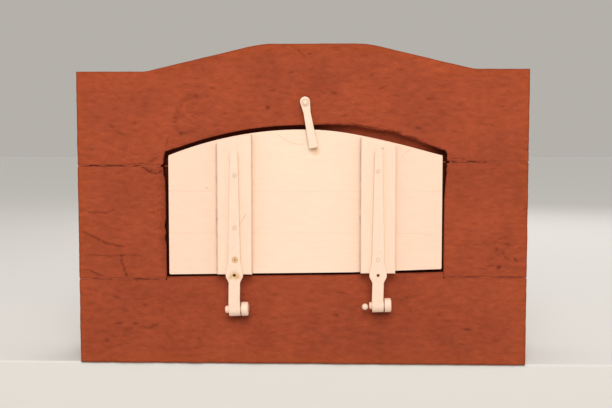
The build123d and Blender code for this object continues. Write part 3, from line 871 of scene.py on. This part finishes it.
crack_dark = (0.16, 0.10, 0.07, 1)
rust_stain = (0.62, 0.36, 0.16, 1)
scratch_tint = (0.42, 0.27, 0.16, 1)
left_batten_edge, right_batten_edge = -0.2108, 0.1462
latch_x, latch_z = 0.0104, 0.6512
latch_scratch = (
    arc_mark,
    {"Middle": (latch_x, 0, latch_z), "Radius": 0.1025, "Width": 0.0016, "From": -0.068, "To": -0.004},
)
board_paint = cream_material(
    "board_paint",
    (0.35, 1, 2.2),
    0.35,
    [
        # The dark lines beside the battens' left edges are paint cracks and painted shade in the crease
        # against the board.
        (*line_from(left_batten_edge, 0.235, 0, 0.315, 0.0030, 0.22), crack_dark, 0.7),
        (*line_from(right_batten_edge, 0.235, 0, 0.325, 0.0026, 0.25), crack_dark, 0.7),
        (*line_from(0.2401, 0.299, 0.0836, 0.0302, 0.0012, 0.35), crack_dark, 0.6),
        (*line_from(0.2483, 0.5217, 0.0219, 0.0184, 0.0018, 0.0), scratch_tint, 0.95),
        (*line_from(-0.330, 0.4345, 0.13, 0, 0.0012, 0.45), crack_dark, 0.6),
        (*spot_at(-0.234, 0.4422, 0.003), crack_dark, 0.6),
        (*spot_at(0.035, 0.534, 0.016, 0.012), rust_stain, 0.75),
        (*latch_scratch, rust_stain, 0.55),
    ],
)
batten_paint = cream_material(
    "batten_paint",
    (2.2, 1, 0.35),
    0.35,
    [
        (*spot_at(-0.1565, 0.5117, 0.012, 0.008), rust_stain, 0.35),
        (*spot_at(-0.1565, 0.482, 0.012, 0.008), rust_stain, 0.35),
        # Dark spots and a line at the left batten's left edge: painted shade in the gap against the board,
        # with the paint crack.
        (*spot_at(-0.2066, 0.3675, 0.004), crack_dark, 0.9),
        (*spot_at(-0.2066, 0.325, 0.004), crack_dark, 0.9),
        (*spot_at(0.1995, 0.5400, 0.0040, 0.002), crack_dark, 0.6),
        (*line_from(-0.2052, 0.235, 0, 0.315, 0.0014, 0.28), crack_dark, 0.5),
        (*line_from(-0.1344, 0.3798, -0.0148, -0.0247, 0.0018, 0.0), scratch_tint, 0.9),
        (*line_from(-0.1492, 0.3551, -0.0150, -0.0395, 0.0018, 0.0), scratch_tint, 0.9),
    ],
)
for name in ("upper_board", "middle_board", "lower_board"):
    coat(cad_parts[name], board_paint)
for name in ("left_batten", "right_batten"):
    coat(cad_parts[name], batten_paint)

# The strap hinges, their pins and spikes, the keeper nail and the latch are forged iron.
# The same cream paint covers them, with rust breaking through at holes, nails and edges.
rust_dark = (0.14, 0.055, 0.02, 1)
rust_light = (0.55, 0.30, 0.10, 1)
nail_shadow = (0.50, 0.31, 0.20, 1)
iron_paint = cream_material(
    "iron_paint",
    (1.5, 1.5, 0.6),
    0.6,
    [
        (*ring_round(-0.1617, 0.4741, 0.0046, 0.0018), nail_shadow, 0.75),
        (*ring_round(-0.1624, 0.3458, 0.0046, 0.0018), nail_shadow, 0.75),
        (*ring_round(0.1877, 0.4842, 0.0046, 0.0018), nail_shadow, 0.60),
        (*ring_round(0.1889, 0.2684, 0.0042, 0.0016), nail_shadow, 0.60),
        (*spot_at(-0.1624, 0.3458, 0.0022, 0.002), rust_light, 0.7),
        (*spot_at(-0.1617, 0.4741, 0.0030, 0.002), crack_dark, 0.5),
        (*spot_at(-0.1618, 0.2670, 0.010, 0.006), rust_light, 0.9),
        (*ring_round(-0.1618, 0.2670, 0.0062, 0.0022), rust_light, 0.9),
        (*spot_at(-0.1618, 0.2670, 0.0042, 0.002), rust_dark, 0.9),
        (*spot_at(-0.1625, 0.2291, 0.014, 0.010), rust_light, 0.9),
        (*spot_at(-0.1720, 0.2240, 0.009, 0.010), rust_light, 0.8),
        (*spot_at(-0.1541, 0.2245, 0.009, 0.010), rust_light, 0.8),
        (*spot_at(-0.1633, 0.2291, 0.006, 0.003), rust_dark, 0.9),
        (*spot_at(0.1891, 0.2300, 0.0055, 0.003), rust_dark, 0.6),
        (*spot_at(0.1749, 0.4395, 0.003, 0.003), crack_dark, 0.8),
        (*spot_at(0.1877, 0.4842, 0.003, 0.002), crack_dark, 0.5),
        (*ring_round(latch_x, latch_z, 0.0085, 0.0022), nail_shadow, 0.8),
        (*spot_at(0.0350, 0.5330, 0.011, 0.012), rust_light, 0.5),
    ],
    paint=(0.79, 0.60, 0.465, 1),
    blush=(0.79, 0.57, 0.445, 1),
    lumps=4.0,
    front_only=False,
)
for name in (
    "left_pintle_pin", "right_pintle_pin", "left_pintle_spike", "right_pintle_spike", "keeper_nail",
    "latch_pivot_pin", "latch_washer", "left_strap_hinge", "right_strap_hinge", "latch_bar",
):
    coat(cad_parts[name], iron_paint)

# Wrought nails hold the straps to the battens. Their heads were hammered down nearly flush
# and painted over with the straps. The lowest one on the left has begun to rust.
nail_places = ((-0.1617, 0.4741), (-0.1624, 0.3458), (-0.1618, 0.2670), (0.1877, 0.4842), (0.1889, 0.2684))
strap_front, nail_radius, nail_corners = -0.159, 0.0042, 20
nail_profile = ((1.0, -0.0006), (1.0, 0.00006), (0.88, 0.00018), (0.55, 0.00024))
nails_mesh = bmesh.new()
for number, (x, z) in enumerate(nail_places):
    rings = []
    for share, rise in nail_profile:
        ring = []
        for i in range(nail_corners):
            turn = 2 * math.pi * i / nail_corners
            uneven = 1 + 0.07 * math.sin(2 * turn + number) + 0.04 * math.sin(5 * turn + 2 * number)
            reach = nail_radius * share * uneven
            spot = (x + reach * math.cos(turn), strap_front - rise, z + reach * math.sin(turn))
            ring.append(nails_mesh.verts.new(spot))
        rings.append(ring)
    for lower, upper in zip(rings, rings[1:]):
        for i in range(nail_corners):
            j = (i + 1) % nail_corners
            nails_mesh.faces.new((lower[i], lower[j], upper[j], upper[i]))
    nails_mesh.faces.new(rings[0])
    nails_mesh.faces.new(rings[-1])
strap_nails = made_from(nails_mesh, "strap_nails")
tidy_faces(strap_nails, 50)
coat(strap_nails, iron_paint)
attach(strap_nails, "shutter")

# The camera stands a little to the right of the window and above its middle, as for the photograph.
# The plain, pale floor steps down just behind the front of the stones, where the open flap hangs.
# One large soft light stands above the camera and a weaker one behind, before a pale backdrop.
camera = bpy.data.objects.new("camera", bpy.data.cameras.new("camera"))
camera.data.lens, camera.data.sensor_width = 50.0, 36.0
camera.location = (0.0743, -2.2261, 0.5373)
camera_aim = Vector((0.0118, -0.12, 0.4025))
camera.rotation_euler = (camera_aim - camera.location).to_track_quat("-Z", "Y").to_euler()
bpy.context.scene.collection.objects.link(camera)
bpy.context.scene.camera = camera

floor_mesh = bmesh.new()
floor_reach, step_depth, step_front, lip = 60.0, 0.46, -0.112, 0.004
profile = [
    (-floor_reach, -step_depth),
    (step_front - 0.12, -step_depth),
    (step_front - 0.03, -step_depth + 0.02),
    (step_front, -step_depth + 0.1),
    (step_front, -lip),
    (step_front + lip, 0.0),
    (floor_reach, 0.0),
]
rows = [[floor_mesh.verts.new((x, y, z)) for y, z in profile] for x in (-floor_reach, floor_reach)]
for i in range(len(profile) - 1):
    floor_mesh.faces.new((rows[0][i], rows[1][i], rows[1][i + 1], rows[0][i + 1]))
floor = made_from(floor_mesh, "floor")
floor_material = bpy.data.materials.new("floor")
floor_material.use_nodes = True
floor_shader = floor_material.node_tree.nodes["Principled BSDF"]
floor_shader.inputs["Base Color"].default_value = (0.62, 0.605, 0.58, 1)
floor_shader.inputs["Roughness"].default_value = 0.9
coat(floor, floor_material)


def soft_light(name, place_at, aim, size, power, tint):
    """A round lamp at one place, turned to another."""
    lamp = bpy.data.lights.new(name, "AREA")
    lamp.shape, lamp.size, lamp.energy, lamp.color = "DISK", size, power, tint
    held = bpy.data.objects.new(name, lamp)
    held.location = place_at
    held.rotation_euler = (Vector(aim) - Vector(place_at)).to_track_quat("-Z", "Y").to_euler()
    bpy.context.scene.collection.objects.link(held)


soft_light("window_light", (0.25, -5.2, 4.2), (0, -0.1, 0.35), 4.0, 308, (1.0, 0.97, 0.92))
soft_light("back_light", (1.5, 4.2, 3.4), (0, 0, 0.4), 3.0, 70, (1.0, 0.98, 0.96))
world = bpy.data.worlds.new("world")
world.use_nodes = True
sky = world.node_tree.nodes["Background"]
sky.inputs["Color"].default_value = (0.82, 0.80, 0.77, 1)
sky.inputs["Strength"].default_value = 0.9
backdrop_values = {"Color": (0.458, 0.436, 0.402, 1), "Strength": 1.0}
backdrop = place(world.node_tree, "ShaderNodeBackground", backdrop_values)
seen = place(world.node_tree, "ShaderNodeLightPath").outputs["Is Camera Ray"]
shades = {0: seen, 1: sky.outputs["Background"], 2: backdrop.outputs["Background"]}
either = place(world.node_tree, "ShaderNodeMixShader", shades)
world_output = world.node_tree.nodes["World Output"]
world.node_tree.links.new(either.outputs["Shader"], world_output.inputs["Surface"])
bpy.context.scene.world = world
bpy.context.scene.view_settings.view_transform = "Standard"
